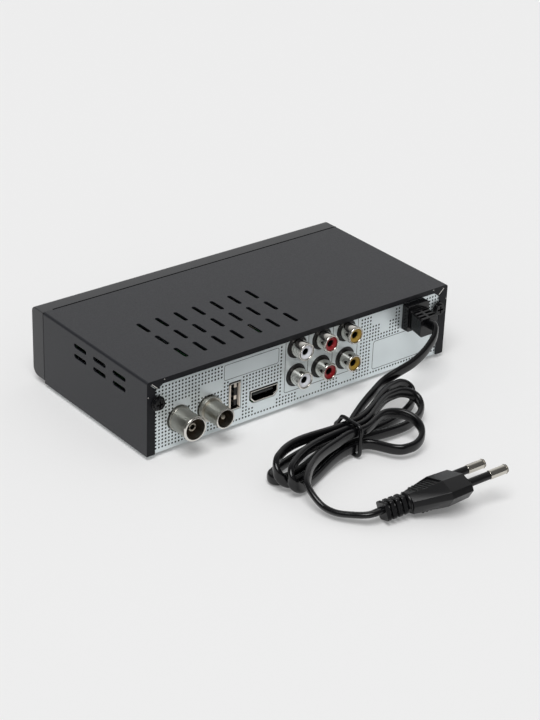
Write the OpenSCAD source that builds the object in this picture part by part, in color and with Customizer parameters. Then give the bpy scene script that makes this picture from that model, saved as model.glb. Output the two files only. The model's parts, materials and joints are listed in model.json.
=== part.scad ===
// Terrestrial receiver box with rear sockets, a flat mains lead and a two pin plug.
// Frame: +Z up, front face towards -Y, sockets towards +Y.
// The origin lies on the table, under the middle of the box.

/* [Case] */
// Width over the steel cover
case_w = 170; // [160:1:200]
// Height of the steel cover
cover_h = 35.6; // [34:0.1:44]
// Front face to rear panel
body_d = 89.2; // [86:0.1:120]
// Depth of the moulded front panel
front_d = 9.5; // [9.5:0.1:14]
// Thickness of the steel sheet
sheet_t = 0.8; // [0.6:0.1:1.2]
// Clearance between the cover and the chassis
case_gap = 0.2; // [0.1:0.05:0.5]
// Outer bend radius of the cover
bend_r = 1.2; // [0.9:0.1:2]
// Width of the cover's rear flange at the sides
flange_w = 4.3; // [3.5:0.1:7]
// Depth of the cover's rear flange at the top
flange_h = 2.6; // [2:0.1:4]
// Height of the chassis side walls
tray_wall_h = 9; // [6:0.5:12]
// Height of the rubber feet
foot_h = 2; // [1.5:0.1:5]
// Radius of the rubber feet
foot_r = 5; // [3:0.5:8]
// Seam between the cover and the front panel
seam = 0.3; // [0.2:0.05:0.6]

/* [Vents] */
// Length of a vent slot
vent_l = 9.6; // [6:0.1:12]
// Width of a vent slot
vent_w = 2; // [1:0.1:3]
// Columns of slots in the top
vent_cols = 7; // [3:1:9]
// Rows of slots in the top
vent_rows = 3; // [1:1:4]
// Column pitch in the top
vent_pitch_x = 10; // [5:0.5:12]
// Row pitch in the top
vent_pitch_y = 14; // [13:0.5:16]
// Slot columns in each side
side_cols = 3; // [1:1:4]
// Slot pitch along each side
side_pitch = 15; // [13:0.5:17]

/* [Front panel] */
// Wall of the front panel
panel_t = 2.2; // [1.6:0.1:3]
// Radius of the top front edge
panel_top_r = 2.6; // [1:0.1:4]
// Radius of the bottom front edge
panel_low_r = 4; // [1:0.1:6]
// Width of the display window
window_w = 70; // [50:1:80]
// Height of the display window
window_h = 15; // [10:0.5:20]
// Radius of the power button
power_r = 5; // [4:0.1:6]
// Radius of the channel buttons
channel_r = 3.8; // [3:0.1:5]
// Gap round a button
button_gap = 0.3; // [0.2:0.05:0.5]
// How far a button stands proud
button_proud = 0.6; // [0.3:0.1:1.5]
// Press travel of a button
button_travel = 0.5; // [0.2:0.05:0.8]

/* [Boards] */
// Board thickness
pcb_t = 1.6; // [1:0.1:2]
// Height of the board standoffs
standoff_h = 5.8; // [5:0.1:8]
// Depth of the main board
main_d = 62; // [50:1:64]
// Radius of the board screws
screw_r = 1.45; // [1:0.05:2]
// Radial clearance of a screw in its thread hole
screw_gap = 0.05; // [0.02:0.01:0.1]

/* [Sockets] */
// Reach of the aerial sockets behind the rear panel
rf_reach = 12; // [10:0.1:15]
// Aerial input position from the middle
rf_in_x = 67.8; // [66:0.1:70]
// Aerial output position from the middle
rf_out_x = 52; // [50:0.1:54]
// Height of the aerial sockets above the board
rf_h = 5.1; // [4.8:0.1:7]
// Outer radius of the aerial plug ring
rf_ring_r = 4.75; // [4.7:0.01:4.8]
// Radius of the aerial centre pin
rf_pin_r = 1.18; // [1.1:0.01:1.2]
// USB socket position from the middle
usb_x = 38; // [36:0.1:40]
// HDMI socket position from the middle
hdmi_x = 22; // [21:0.1:23]
// First column of phono sockets from the middle
rca_x = 4.1; // [3:0.1:5]
// Column pitch of the phono sockets
rca_pitch = 14.2; // [13:0.1:16]
// Row pitch of the phono sockets
rca_row = 14; // [13:0.1:15]
// Height of the lower phono row above the board
rca_low = 6.5; // [6:0.1:8]
// Radius of a phono barrel
rca_r = 4.15; // [4.1:0.01:4.2]
// Reach of a phono barrel behind the rear panel
rca_reach = 7; // [5:0.1:9]

/* [Mains lead] */
// Width of the flat cord
cord_w = 4.8; // [4.4:0.1:5]
// Thickness of the flat cord
cord_t = 2.8; // [2.4:0.1:3]
// Cord bushing position from the middle
bush_x = -64.4; // [-68:0.1:-60]
// Cord bushing depth below the cover's top
bush_drop = 9.6; // [9:0.1:12]
// Reach of the cord bushing behind the rear panel
bush_reach = 11.5; // [10:0.1:13]
// Radius of the tie wire
tie_r = 0.9; // [0.6:0.05:1]
// Radius of a plug pin
pin_r = 2; // [1.9:0.01:2.1]
// Pin spacing of the plug
pin_pitch = 18; // [17.5:0.1:19]
// Length of a plug pin
pin_l = 19; // [18:0.1:20]

/* [Hidden] */
$fn = 48;
eps = 0.01;
// a cut runs this far past the face that it opens
past = 1;

// main planes of the case
half_d = (body_d + rf_reach + button_proud) / 2;
front_y = -half_d + button_proud;
rear_y = front_y + body_d;
seam_y = front_y + front_d;
base_z = foot_h;
top_z = base_z + cover_h;
floor_z = base_z + sheet_t;
half_w = case_w / 2;
tray_half_w = half_w - sheet_t - case_gap;
rear_wall_top = top_z - sheet_t - case_gap;

// boards and sockets
board_z = floor_z + standoff_h;
board_top = board_z + pcb_t;
board_rear = rear_y - sheet_t - 0.5;
main_x0 = -36;
main_x1 = half_w - 6;
power_x0 = -(half_w - 5);
power_x1 = main_x0 - 3;
rf_z = board_top + rf_h;
can_face = rear_y - sheet_t - case_gap;
rf_hole_r = 6.25;
rf_base_r = 5.7;
rf_shell_t = 0.7;
rf_rim_r = 5.75;
rf_seat_l = 2.4;
usb_w = 5.7;
usb_h = 13.1;
usb_l = 14;
usb_z = board_top + usb_h / 2;
hdmi_w = 15;
hdmi_h = 5.5;
hdmi_l = 11.5;
hdmi_lift = 0.15;
hdmi_z = board_top + hdmi_lift + hdmi_h / 2;
shell_t = 0.4;
socket_gap = 0.5;
rca_cols = 3;
rca_rows = 2;
rca_collar_r = 5.3;
rca_collar_reach = 0.3;
rca_neck_r = rca_r - 0.25;
rca_step = sheet_t + 0.2;
rca_face = 0.3;
rca_depth = 14;
rca_gap = 0.2;
rca_wall = 0.65;
rca_core_r = 1.6;
rca_seat = 4;
rca_z = board_top + rca_low;

// screws and standoffs, as steps back from the rear panel
main_posts = [[-32, -58], [half_w - 10, -58], [-32, -22], [38, -24]];
power_posts = [[-(half_w - 8), -58], [-43, -58], [-(half_w - 8), -22], [-43, -22]];
post_r = 2.8;
head_r = 2.7;
head_h = 1.8;
cover_screw_r = 1.45;
cover_screw_x = half_w - 5.4;
cover_screw_z = base_z + 24.6;
cover_head_r = 3.4;
cover_head_h = 2;
cover_screw_l = 6;

// front panel
panel_low = base_z + 1.1;
panel_top = top_z - 0.3;
panel_inner = front_y + panel_t;
button_flange = 0.8;
button_lip = 1.2;
plunger_r = 1.7;
plunger_out = 1.1;
switch_face = panel_inner + button_flange + plunger_out;
switch_d = 3.5;
switch_w = 6;
front_board_y = switch_face + switch_d;
control_z = (panel_low + panel_top) / 2;
power_x = 45;
channel_up_x = 58;
channel_down_x = 70;
window_x = -10;
window_gap = 0.1;
window_lip = 1.5;
window_lip_t = 0.9;
front_board_x0 = -61;
front_board_x1 = 78;
front_board_h = 24;
front_posts = [[-57, 8], [64, 8], [-57, -8], [31, -8]];

// cord bushing, lead and plug
bush_z = top_z - bush_drop;
bush_w = 13;
bush_plate = 4;
bush_neck = 9.6;
bush_inner = 2.4;
bush_sleeve_w = 10.4;
bush_sleeve_h = 9;
bush_exit = [bush_x, rear_y + bush_reach, bush_z - 0.6];
plug_at = [-0.3, 139.2, 10.4];
plug_yaw = 170;
plug_pitch = 7.5;
plug_roll = -22;
plug_l = 36.2;
plug_hw = 13;
plug_half_t = 5.6;
plug_drop = 1.3;
relief_drop = 0.6;
plug_broad = 10;
plug_relief_l = 12;
plug_relief_r = 2.7;
plug_rib_r = 3.9;
rib_pitch = 2.7;
rib_l = 1.75;
grip_depth = 0.9;
grip_pitch = 1.7;
grip_ribs = 6;
sleeve_r = 1.75;
pin_core_r = 1.2;
sleeve_l = 10;
sleeve_seat = 6;

// the hank: three turns that pass twice under one tie
turns = 3;
tie_x = 10;
tie_half = 4.5;
tie_corner = 2.6;
tie_slack = 6;
slot_y = 80.4;
slot_step = 3.6;
slot_low = 4.8;
slot_high = 12;
fold_steps = 6;
// left folds: start, turn of the run, reach, length of the round end, half width, height in and out
left_folds = [[[14, 78], 10.5, 40, 3.5, 3.2, 3, 3],
    [[14.5, 76.5], 20, 43, 8, 4.2, 13, 3.4],
    [[14.5, 80], 25, 42.5, 7.5, 2.8, 12.4, 3.2]];
// right loops, in the same order
right_loops = [[[5, 81], 197, 46.5, 9, 3.8, 3.6, 12.8],
    [[5, 84.5], 192, 42, 11, 6.2, 4.6, 12.6],
    [[5, 88], 160, 25.5, 11, 9.2, 5.4, 13]];
// the lead comes down behind the loops and in under the tie
hank_in = [[-29, 61.2, 13.4], [-18.5, 65, 12], [-9, 69, 10.4], [-1, 73, 8.8], [5.5, 76.5, 7.4],
    [14, slot_y - slot_step, 6.4]];
hank_out = [22, slot_y + 2 * slot_step + 1.4, slot_high - 0.4];
lead_route = [bush_exit, [bush_exit[0], 54, 27.2], [-61.5, 57.5, 25.2], [-56, 60, 22.4], [-50.5, 61.5, 20.2],
    [-44, 62.2, 18], [-36.5, 61.8, 15.9], hank_in[0]];
tail_start = [hank_out, [31, 91.2, 11.2], [38.5, 94.2, 10.8], [45.5, 99, 10.4], [50.5, 104.5, 8.8],
    [51.5, 110, 6.4], [50.8, 115.5, 4], [49, 121, 3.4], [45.6, 126, 3.8]];

// profiles

module slot2d(l, w) {
    square([l - w, w], center = true);
    for (s = [-1, 1]) translate([s * (l - w) / 2, 0]) circle(d = w);
}

module round_top2d(w, h, r) {
    translate([-w / 2, 0]) square([w, h - r]);
    translate([-w / 2 + r, 0]) square([w - 2 * r, h]);
    for (s = [-1, 1]) translate([s * (w / 2 - r), h - r]) circle(r);
}

module round_rect2d(w, h, r) {
    square([w - 2 * r, h], center = true);
    square([w, h - 2 * r], center = true);
    for (sx = [-1, 1], sy = [-1, 1]) translate([sx * (w / 2 - r), sy * (h / 2 - r)]) circle(r);
}

// stands a profile drawn in X and Z upright, from y0 to y1
module upright(y0, y1) {
    translate([0, y1, 0]) rotate([90, 0, 0]) linear_extrude(y1 - y0) children();
}

module along_y(r, y0, y1) {
    translate([0, y0, 0]) rotate([-90, 0, 0]) cylinder(r = r, h = y1 - y0);
}

module box(x0, x1, y0, y1, z0, z1) {
    translate([x0, y0, z0]) cube([x1 - x0, y1 - y0, z1 - z0]);
}

module hdmi2d(grow) {
    w = hdmi_w / 2 + grow;
    h = hdmi_h / 2 + grow;
    step = 2;
    polygon([[-w, h], [w, h], [w, -h + step], [w - step, -h], [-w + step, -h], [-w, -h + step]]);
}

module at_rca() {
    for (c = [0 : rca_cols - 1], r = [0 : rca_rows - 1])
        translate([rca_x - c * rca_pitch, 0, rca_z + r * rca_row]) children();
}

module at_rca_column(c) {
    for (r = [0 : rca_rows - 1]) translate([rca_x - c * rca_pitch, 0, rca_z + r * rca_row]) children();
}

// case

module top_vents() {
    for (c = [0 : vent_cols - 1], r = [0 : vent_rows - 1])
        translate([57 - c * vent_pitch_x, rear_y - 14 - r * vent_pitch_y, top_z - sheet_t - past])
            linear_extrude(sheet_t + 2 * past) rotate(90) slot2d(vent_l, vent_w);
}

module side_vents() {
    for (s = [-1, 1], c = [0 : side_cols - 1], z = [25, 30])
        translate([s * half_w, rear_y - 19.8 - c * side_pitch, base_z + z])
            rotate([90, 0, 90]) translate([0, 0, -sheet_t - past]) linear_extrude(2 * (sheet_t + past))
                slot2d(vent_l, vent_w);
}

flange_corner = [4, 2.6];
mitre_h = flange_h + flange_corner[1] / 2;

module flange_opening2d() {
    x = half_w - flange_w;
    z = cover_h - flange_h;
    polygon([[-x, -past], [x, -past], [x, z - flange_corner[1]], [x - flange_corner[0], z],
        [flange_corner[0] - x, z], [-x, z - flange_corner[1]]]);
}

module top_cover() {
    color("#3a3a3d") difference() {
        union() {
            translate([0, 0, base_z]) upright(seam_y + seam, rear_y + sheet_t) difference() {
                round_top2d(case_w, cover_h, bend_r);
                translate([0, -past])
                    round_top2d(case_w - 2 * sheet_t, cover_h - sheet_t + past, bend_r - sheet_t);
            }
            translate([0, 0, base_z]) upright(rear_y, rear_y + sheet_t) difference() {
                round_top2d(case_w, cover_h, bend_r);
                flange_opening2d();
            }
        }
        top_vents();
        side_vents();
        for (s = [-1, 1]) {
            translate([s * cover_screw_x, 0, cover_screw_z])
                along_y(cover_screw_r + 3 * screw_gap, rear_y - past, rear_y + sheet_t + past);
            translate([s * (half_w - flange_w), rear_y, top_z - mitre_h])
                rotate([0, s > 0 ? -atan2(mitre_h, flange_w) : 180 + atan2(mitre_h, flange_w), 0])
                    translate([-flange_corner[0], -eps, -0.2])
                        cube([flange_w + flange_corner[0] - bend_r, sheet_t + past, 0.4]);
        }
    }
}

module rear_cuts() {
    y0 = rear_y - sheet_t - past;
    y1 = rear_y + past;
    for (x = [rf_in_x, rf_out_x]) translate([x, 0, rf_z]) along_y(rf_hole_r, y0, y1);
    at_rca() along_y(rca_collar_r + rca_gap, y0, y1);
    box(usb_x - usb_w / 2 - socket_gap, usb_x + usb_w / 2 + socket_gap, y0, y1,
        usb_z - usb_h / 2 - socket_gap, usb_z + usb_h / 2 + socket_gap);
    translate([hdmi_x, 0, hdmi_z]) upright(y0, y1) hdmi2d(socket_gap);
    translate([bush_x, 0, bush_z]) upright(y0, y1) square(bush_neck + rca_gap, center = true);
    for (s = [-1, 1]) translate([s * cover_screw_x, 0, cover_screw_z])
        along_y(cover_screw_r + screw_gap, y0, y1);
}

module bottom_chassis() {
    lip_y = seam_y + 2;
    lip_half_w = tray_half_w - sheet_t - 4;
    color("#c9cdce") difference() {
        union() {
            box(-tray_half_w, tray_half_w, seam_y, rear_y, base_z, floor_z);
            box(-tray_half_w, tray_half_w, rear_y - sheet_t, rear_y, base_z, rear_wall_top);
            box(-lip_half_w, lip_half_w, lip_y, lip_y + sheet_t, base_z, base_z + tray_wall_h);
            for (s = [-1, 1]) translate([s * (tray_half_w - sheet_t / 2), 0, 0])
                box(-sheet_t / 2, sheet_t / 2, seam_y, rear_y, base_z, base_z + tray_wall_h);
        }
        rear_cuts();
        for (c = [-3 : 3], r = [0 : 1])
            translate([c * vent_pitch_x, rear_y - 30 - r * vent_pitch_y, base_z - past])
                linear_extrude(sheet_t + 2 * past) rotate(90) slot2d(vent_l, vent_w);
    }
}

module rubber_feet() {
    inset = 14;
    color("#1c1c1d") for (sx = [-1, 1], y = [seam_y + inset - 4, rear_y - inset + 6])
        translate([sx * (half_w - inset + 5), y, 0]) {
            cylinder(r = foot_r, h = foot_h);
        }
}

module cover_screws() {
    color("#202022") for (s = [-1, 1]) translate([s * cover_screw_x, 0, cover_screw_z]) {
        y0 = rear_y + sheet_t;
        difference() {
            union() {
                along_y(cover_head_r, y0, y0 + 0.7);
                along_y(cover_head_r - 0.8, y0, y0 + cover_head_h);
                along_y(cover_screw_r, y0 - cover_screw_l, y0 + eps);
            }
            for (a = [0, 90]) rotate([0, a, 0]) box(-1.7, 1.7, y0 + 0.9, y0 + cover_head_h + past, -0.4, 0.4);
        }
    }
}

// front panel and controls

module panel_side2d() {
    d = front_d;
    h = panel_top - panel_low;
    translate([panel_top_r, h - panel_top_r]) circle(panel_top_r);
    translate([panel_low_r, panel_low_r]) circle(panel_low_r);
    translate([panel_low_r, 0]) square([d - panel_low_r, h - panel_top_r]);
    translate([panel_top_r, panel_low_r]) square([d - panel_top_r, h - panel_low_r]);
    translate([0, panel_low_r]) square([d, h - panel_low_r - panel_top_r]);
}

module front_panel() {
    tab_y = 10;
    color("#2b2b2d") difference() {
        union() {
            difference() {
                translate([-half_w, front_y, panel_low]) rotate([90, 0, 90])
                    linear_extrude(case_w) panel_side2d();
                box(-half_w + panel_t, half_w - panel_t, panel_inner, seam_y + past,
                    panel_low + panel_t, panel_top - panel_t);
            }
            // side tabs that clip inside the chassis walls
            for (s = [-1, 1]) translate([s * (tray_half_w - sheet_t - 1), 0, 0])
                box(-1, 1, panel_inner - eps, seam_y + tab_y, floor_z + 3, base_z + tray_wall_h);
            // posts for the control board
            for (p = front_posts) translate([p[0], 0, control_z + p[1]])
                along_y(post_r, panel_inner - eps, front_board_y);
        }
        translate([window_x, 0, control_z]) upright(front_y - past, panel_inner + past)
            round_rect2d(window_w, window_h, 1.5);
        translate([power_x, 0, control_z]) along_y(power_r + button_gap, front_y - past, panel_inner + past);
        for (x = [channel_up_x, channel_down_x])
            translate([x, 0, control_z]) along_y(channel_r + button_gap, front_y - past, panel_inner + past);
        for (p = front_posts) translate([p[0], 0, control_z + p[1]])
            along_y(screw_r + screw_gap, panel_inner + past, front_board_y + past);
    }
}

module display_window() {
    color("#160d10") translate([window_x, 0, control_z]) {
        upright(front_y, panel_inner + eps)
            round_rect2d(window_w - 2 * window_gap, window_h - 2 * window_gap, 1.4);
        upright(panel_inner, panel_inner + window_lip_t)
            round_rect2d(window_w + 2 * window_lip, window_h + 2 * window_lip, 2);
    }
}

module button(x, r) {
    color("#3b3b3e") translate([x, 0, control_z]) {
        along_y(r, front_y - button_proud, panel_inner + eps);
        along_y(r + button_lip, panel_inner, panel_inner + button_flange);
    }
}

module plunger(x) {
    color("#d8d4c8") translate([x, 0, control_z])
        along_y(plunger_r, panel_inner + button_flange, switch_face + plunger_out);
}

module power_button() { button(power_x, power_r); }
module channel_up_button() { button(channel_up_x, channel_r); }
module channel_down_button() { button(channel_down_x, channel_r); }
module power_plunger() { plunger(power_x); }
module channel_up_plunger() { plunger(channel_up_x); }
module channel_down_plunger() { plunger(channel_down_x); }

module switch_housings() {
    well = plunger_out + button_travel + 0.3;
    color("#1d1d1f") for (x = [power_x, channel_up_x, channel_down_x]) translate([x, 0, control_z])
        difference() {
            box(-switch_w / 2, switch_w / 2, switch_face, front_board_y, -switch_w / 2, switch_w / 2);
            along_y(plunger_r + 0.2, switch_face - past, switch_face + well);
        }
}

module front_board() {
    color("#2f6b3c") difference() {
        box(front_board_x0, front_board_x1, front_board_y, front_board_y + pcb_t,
            control_z - front_board_h / 2, control_z + front_board_h / 2);
        for (p = front_posts) translate([p[0], 0, control_z + p[1]])
            along_y(screw_r + 0.2, front_board_y - past, front_board_y + pcb_t + past);
    }
}

module front_board_screws() {
    y0 = front_board_y + pcb_t;
    color("#b9bcbe") for (p = front_posts) translate([p[0], 0, control_z + p[1]]) {
        along_y(head_r, y0, y0 + head_h);
        along_y(screw_r, y0 - pcb_t - 3, y0 + eps);
    }
}

module led_display() {
    color("#26262a") translate([window_x - 10, 0, control_z])
        box(-20, 20, panel_inner + window_lip_t, front_board_y, -7, 7);
}

module ir_receiver() {
    y1 = front_board_y;
    color("#1a1416") translate([window_x + 22, 0, control_z]) {
        box(-3, 3, y1 - 2.6, y1, -3.5, 3.5);
        translate([0, y1 - 2.6, 0.5]) sphere(1.6);
    }
}

// boards and what stands on them

module board(x0, x1, posts) {
    difference() {
        box(x0, x1, board_rear - main_d, board_rear, board_z, board_top);
        for (p = posts) translate([p[0], rear_y + p[1], board_z - past])
            cylinder(r = screw_r + 0.2, h = pcb_t + 2 * past);
    }
}

module main_board() { color("#2f6b3c") board(main_x0, main_x1, main_posts); }
module power_board() { color("#9a7b45") board(power_x0, power_x1, power_posts); }

module standoffs() {
    color("#b9bcbe") for (p = concat(main_posts, power_posts)) translate([p[0], rear_y + p[1], floor_z])
        difference() {
            cylinder(r = post_r, h = standoff_h);
            translate([0, 0, 1]) cylinder(r = screw_r + screw_gap, h = standoff_h);
        }
}

module board_screws() {
    color("#b9bcbe") for (p = concat(main_posts, power_posts)) translate([p[0], rear_y + p[1], board_top]) {
        cylinder(r = head_r, h = head_h);
        translate([0, 0, -pcb_t - 3.4]) cylinder(r = screw_r, h = pcb_t + 3.4 + eps);
    }
}

chip = [16, -42, 1.8];
module main_chip() {
    color("#222224") translate([chip[0], rear_y + chip[1], board_top]) box(-8, 8, -8, 8, 0, chip[2]);
}

module heat_sink() {
    fins = 7;
    pitch = 3;
    color("#a8acaf") translate([chip[0], rear_y + chip[1], board_top + chip[2]]) {
        box(-10, 10, -10, 10, 0, 2);
        for (i = [0 : fins - 1]) translate([(i - (fins - 1) / 2) * pitch, 0, 0])
            box(-0.5, 0.5, -10, 10, 2 - eps, 10);
    }
}

can_side = 8;
can_d = 30;
can_h = 11.6;

module tuner_can() {
    color("#c3c6c8") box(rf_out_x - can_side, rf_in_x + can_side, can_face - can_d, can_face,
        board_top, board_top + can_h);
}

// sockets

module rf_in_shell() {
    bore = rf_ring_r + 0.05;
    tip = rear_y + rf_reach;
    color("#d3d4d2") translate([rf_in_x, 0, rf_z]) difference() {
        union() {
            along_y(rf_base_r, can_face, can_face + rf_seat_l);
            along_y(bore + rf_shell_t, can_face, tip - 1.2);
            translate([0, tip - 1.8, 0]) rotate([-90, 0, 0]) rotate_extrude() {
                translate([bore, 0]) square([rf_rim_r - bore - 0.5, 1.8]);
                translate([rf_rim_r - 0.5, 0.5]) square([0.5, 0.8]);
                for (y = [0.5, 1.3]) translate([rf_rim_r - 0.5, y]) circle(0.5);
            }
        }
        along_y(bore, can_face + rf_seat_l, tip + past);
        along_y(2.4, can_face - past, tip);
    }
}

module rf_in_insulator() {
    color("#e4e2da") translate([rf_in_x, 0, rf_z]) difference() {
        along_y(rf_ring_r - 0.05, can_face + rf_seat_l, can_face + rf_seat_l + 2);
        along_y(1.95, can_face, can_face + rf_seat_l + 3);
    }
}

module rf_in_contact() {
    tip = rear_y + rf_reach - 2.4;
    color("#c9a85a") translate([rf_in_x, 0, rf_z]) difference() {
        along_y(1.9, can_face, tip);
        along_y(rf_pin_r + 0.03, can_face + rf_seat_l, tip + past);
        box(-2.5, 2.5, tip - 5, tip + past, -0.2, 0.2);
    }
}

module rf_out_shell() {
    tip = rear_y + rf_reach;
    color("#d3d4d2") translate([rf_out_x, 0, rf_z]) difference() {
        union() {
            along_y(rf_base_r, can_face, can_face + rf_seat_l + 1);
            along_y(rf_ring_r, can_face, tip);
        }
        along_y(rf_ring_r - rf_shell_t, can_face + rf_seat_l, tip + past);
        along_y(1.6, can_face - past, tip);
    }
}

module rf_out_insulator() {
    color("#e4e2da") translate([rf_out_x, 0, rf_z]) difference() {
        along_y(rf_ring_r - rf_shell_t - 0.05, can_face + rf_seat_l, can_face + rf_seat_l + 2);
        along_y(rf_pin_r + 0.03, can_face, can_face + rf_seat_l + 3);
    }
}

module rf_out_pin() {
    color("#c9a85a") translate([rf_out_x, 0, rf_z]) {
        along_y(rf_pin_r, can_face, rear_y + rf_reach - 1.5);
    }
}

module usb_shell() {
    y0 = rear_y + 0.3 - usb_l;
    color("#d3d4d2") translate([usb_x, 0, usb_z]) difference() {
        box(-usb_w / 2, usb_w / 2, y0, rear_y + 0.3, -usb_h / 2, usb_h / 2);
        box(-usb_w / 2 + shell_t, usb_w / 2 - shell_t, y0 - past, rear_y + past,
            -usb_h / 2 + shell_t, usb_h / 2 - shell_t);
    }
}

module usb_tongue() {
    y0 = rear_y + 0.3 - usb_l;
    w = usb_w / 2 - shell_t;
    h = usb_h / 2 - shell_t;
    color("#19191b") translate([usb_x, 0, usb_z]) {
        box(-w, w, y0, y0 + 4.5, -h, h);
        box(-w + 0.3, -w + 2.2, y0, rear_y - 1, -h + 0.6, h - 0.6);
    }
}

module usb_contacts() {
    w = usb_w / 2 - shell_t;
    color("#c9a85a") translate([usb_x, 0, usb_z]) for (i = [-1.5 : 1.5])
        box(-w + 2.2, -w + 2.5, rear_y - 9.2, rear_y - 1.6, i * 2.4 - 0.5, i * 2.4 + 0.5);
}

module hdmi_shell() {
    y1 = rear_y + 0.3;
    color("#d3d4d2") translate([hdmi_x, 0, hdmi_z]) difference() {
        union() {
            upright(y1 - hdmi_l, y1) hdmi2d(0);
            for (s = [-1, 1]) translate([s * 5, 0, 0])
                box(-0.6, 0.6, y1 - hdmi_l, y1 - hdmi_l + 2, board_top - hdmi_z, 0);
        }
        upright(y1 - hdmi_l - past, y1 + past) hdmi2d(-shell_t);
    }
}

module hdmi_tongue() {
    y1 = rear_y + 0.3;
    color("#19191b") translate([hdmi_x, 0, hdmi_z]) {
        upright(y1 - hdmi_l, y1 - hdmi_l + 4) hdmi2d(-shell_t);
        box(-5.6, 5.6, y1 - hdmi_l, y1 - 1.2, -0.1, 1);
    }
}

module rca_block() {
    x1 = rca_x + 7;
    x0 = rca_x - (rca_cols - 1) * rca_pitch - 7;
    y1 = rear_y - sheet_t - rca_gap;
    color("#1c1c1e") difference() {
        union() {
            box(x0, x1, y1 - rca_depth, y1, board_top, rca_z + rca_row + rca_collar_r);
            at_rca() along_y(rca_collar_r, y1 - eps, rear_y + rca_collar_reach);
        }
        at_rca() along_y(rca_neck_r + screw_gap, rear_y - rca_seat, rear_y + rca_collar_reach + past);
        box(x0 - past, x1 + past, rear_y - rca_gap, rear_y + rca_collar_reach + past,
            top_z - flange_h - rca_gap, top_z);
    }
}

module rca_barrels() {
    tip = rear_y + rca_reach;
    color("#d3d4d2") at_rca() difference() {
        union() {
            along_y(rca_neck_r, rear_y - rca_seat, rear_y + rca_step + eps);
            along_y(rca_r, rear_y + rca_step, tip);
        }
        along_y(rca_r - rca_wall, rear_y - rca_seat - past, tip + past);
    }
}

module rca_insert(c, shade) {
    color(shade) at_rca_column(c) difference() {
        along_y(rca_r - rca_wall - screw_gap, rear_y - rca_seat, rear_y + rca_reach - rca_face);
        along_y(rca_core_r, rear_y - rca_seat + 1.5, rear_y + rca_reach + past);
    }
}

module rca_white_inserts() { rca_insert(0, "#e8e9ee"); }
module rca_red_inserts() { rca_insert(1, "#a31d24"); }
module rca_yellow_inserts() { rca_insert(2, "#b48f32"); }

// power parts

part_gap = 2;
power_row = rear_y - 46;
bulk_r = 6;
bulk_h = 18;
bulk_x = power_x0 + part_gap + bulk_r;
core_w = 18;
core_d = 20;
core_h = 20;
core_plate = 3;
core_x = bulk_x + bulk_r + part_gap + core_w / 2;
output_r = 4;
output_h = 12;
output_x = power_x1 - 2 * part_gap - output_r;

module transformer() {
    color("#4a3b22") translate([core_x, power_row, board_top]) {
        for (z = [0, core_h - core_plate]) translate([0, 0, z])
            box(-core_w / 2, core_w / 2, -core_d / 2, core_d / 2, 0, core_plate);
        box(2.5 - core_w / 2, core_w / 2 - 2.5, 1 - core_d / 2, core_d / 2 - 1,
            core_plate - eps, core_h - core_plate + eps);
        for (s = [-1, 1]) translate([0, s * (core_d / 2 - 1), 0])
            box(-core_w / 2, core_w / 2, -1, 1, core_plate - eps, core_h - core_plate + eps);
    }
}

module bulk_capacitor() {
    color("#20242e") translate([bulk_x, power_row, board_top]) {
        cylinder(r = bulk_r, h = bulk_h);
        translate([0, 0, bulk_h - eps]) cylinder(r = bulk_r - 0.5, h = 0.6);
    }
}

module output_capacitors() {
    color("#20242e") for (k = [0, 1])
        translate([output_x - k * (2 * output_r + part_gap), rear_y - 29, board_top]) {
            cylinder(r = output_r, h = output_h);
            translate([0, 0, output_h - eps]) cylinder(r = output_r - 0.4, h = 0.5);
        }
}

module fuse() {
    color("#d9dde0") translate([power_x0 + 10, rear_y - 18, board_top + 2.6]) rotate([0, 90, 0]) {
        cylinder(r = 2.3, h = 20);
        for (x = [0, 15]) translate([0, 0, x]) cylinder(r = 2.6, h = 5);
    }
}

ribbon_x0 = -24;
ribbon_x1 = -8;
ribbon_back = board_rear - main_d + 3;
ribbon_front = front_board_y + pcb_t;

module ribbon_headers() {
    color("#e4e2da") {
        box(ribbon_x0, ribbon_x1, ribbon_back, ribbon_back + 4, board_top, board_top + 4);
        box(ribbon_x0, ribbon_x1, ribbon_front, ribbon_front + 3, board_top + 3, board_top + 7);
    }
}

module ribbon_cable() {
    t = 0.9;
    y0 = ribbon_back;
    y1 = ribbon_front + 3;
    z0 = board_top + 1.5;
    z1 = board_top + 4.5;
    low = [[y0, z0], [y0 - 3, z0], [y1 + 3, z1], [y1, z1]];
    color("#b8b4ac") translate([ribbon_x0 + 1, 0, 0]) rotate([90, 0, 90])
        linear_extrude(ribbon_x1 - ribbon_x0 - 2)
            polygon(concat(low, [for (i = [3 : -1 : 0]) low[i] + [0, t]]));
}

// mains lead

function seg(p, i) = norm(p[i + 1] - p[i]);
function slope(p, i) =
    i == 0 ? (p[1] - p[0]) / seg(p, 0)
    : i == len(p) - 1 ? (p[i] - p[i - 1]) / seg(p, i - 1)
    : let (a = seg(p, i - 1), b = seg(p, i))
        ((p[i + 1] - p[i]) / b * a + (p[i] - p[i - 1]) / a * b) / (a + b);
// a smooth curve through the points, with two steps between neighbours
function curve(p) = concat([for (i = [0 : len(p) - 2], t = [0, 0.5])
    let (d = seg(p, i), u = t * t, v = t * t * t)
        (2 * v - 3 * u + 1) * p[i] + (v - 2 * u + t) * d * slope(p, i)
        + (3 * u - 2 * v) * p[i + 1] + (v - u) * d * slope(p, i + 1)], [p[len(p) - 1]]);
function unit(v) = v / norm(v);
function run(p, i) = unit(p[min(i + 1, len(p) - 1)] - p[max(i - 1, 0)]);
// direction of the cord's width at ring i, upright and then rolled
function broad(p, i, roll) = let (t = run(p, i), w = unit([0, 0, 1] - t * t[2]))
    cos(roll) * w + sin(roll) * cross(t, w);
function ease(u) = u * u * (3 - 2 * u);
function roll_at(p, i, r0, r1) = r0 + (r1 - r0) * ease(i / (len(p) - 1));

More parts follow.
